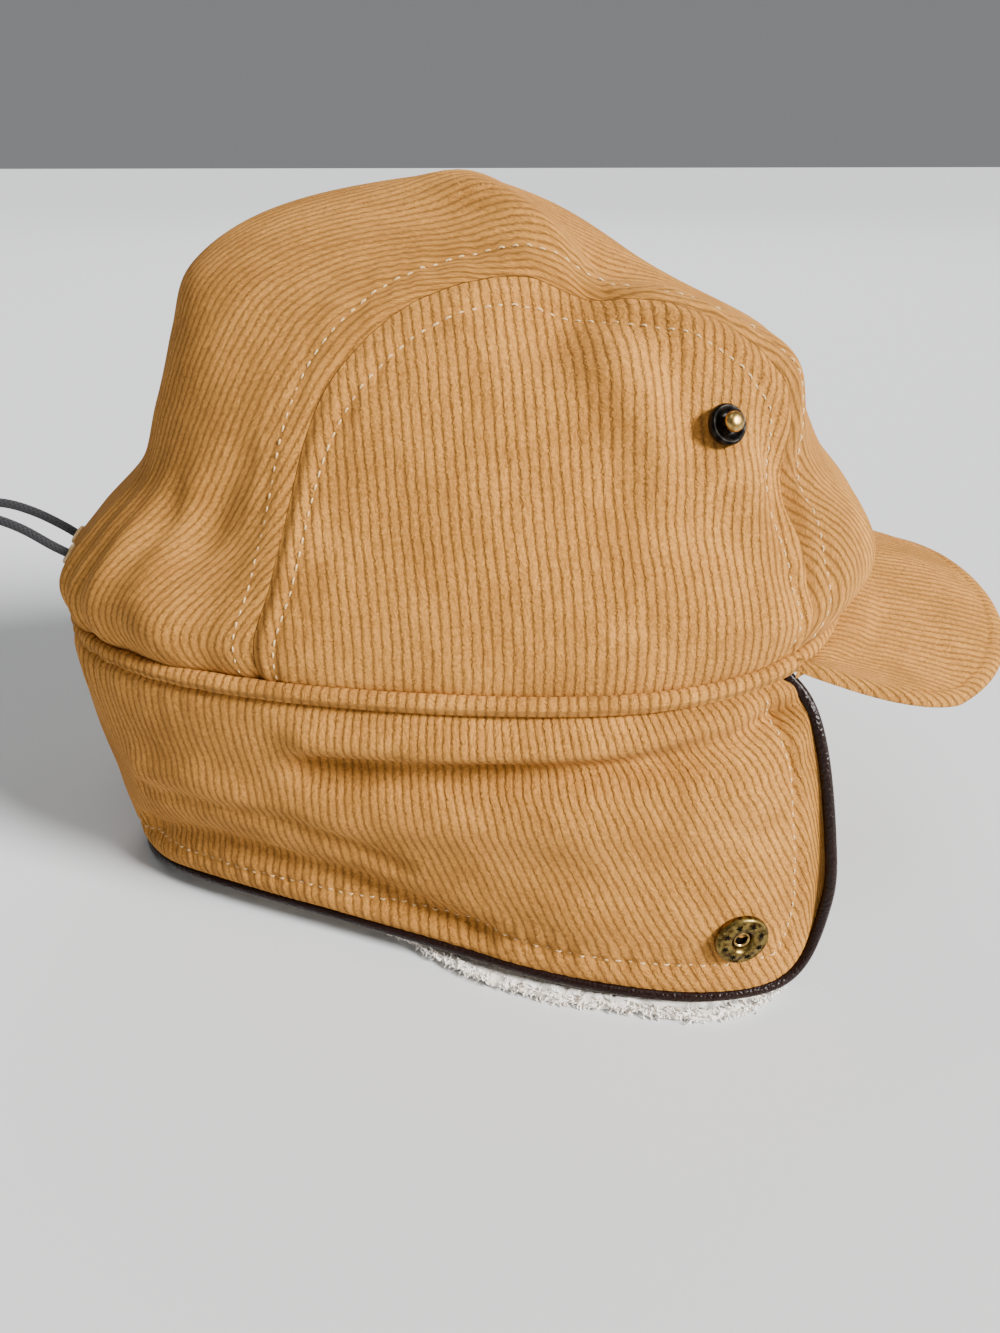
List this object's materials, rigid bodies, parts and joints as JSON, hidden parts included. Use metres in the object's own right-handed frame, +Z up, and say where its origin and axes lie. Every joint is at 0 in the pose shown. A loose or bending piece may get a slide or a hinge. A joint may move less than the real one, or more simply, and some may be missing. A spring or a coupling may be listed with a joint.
{
  "type": "earflap cap",
  "caption": "Corduroy cap with a soft crown, a curved peak, a pile-lined ear and neck flap turned down with leather piping, snaps at the ears and an elastic drawcord behind.",
  "frame": {"origin": "middle of the cap's length and width, on the surface it stands on, measured without the drawcord and its lock", "axes": "+X toward the peak, +Y toward the wearer's left, +Z up"},
  "size_m": [0.3802, 0.1992, 0.1921],
  "materials": {
    "corduroy": "camel cotton corduroy, 11 wales to the inch",
    "pile": "off-white curly pile",
    "piping": "dark brown, lightly polished",
    "snap_brass": "antiqued",
    "snap_dark": "blackened with a worn ball",
    "elastic": "braided elastic",
    "lock_plastic": "plain"
  },
  "bodies": {
    "root": {"crown_strip": "corduroy", "side_panel_right": "corduroy", "side_panel_left": "corduroy", "crown_band": "corduroy", "ear_flap": "corduroy", "flap_lining": "pile", "flap_piping": "piping", "visor": "corduroy", "snap_socket_right": "snap_brass", "snap_socket_left": "snap_brass", "snap_stud_right": "snap_dark", "snap_stud_left": "snap_dark", "drawcord": "elastic", "cord_lock": "lock_plastic"}
  },
  "joints": []
}
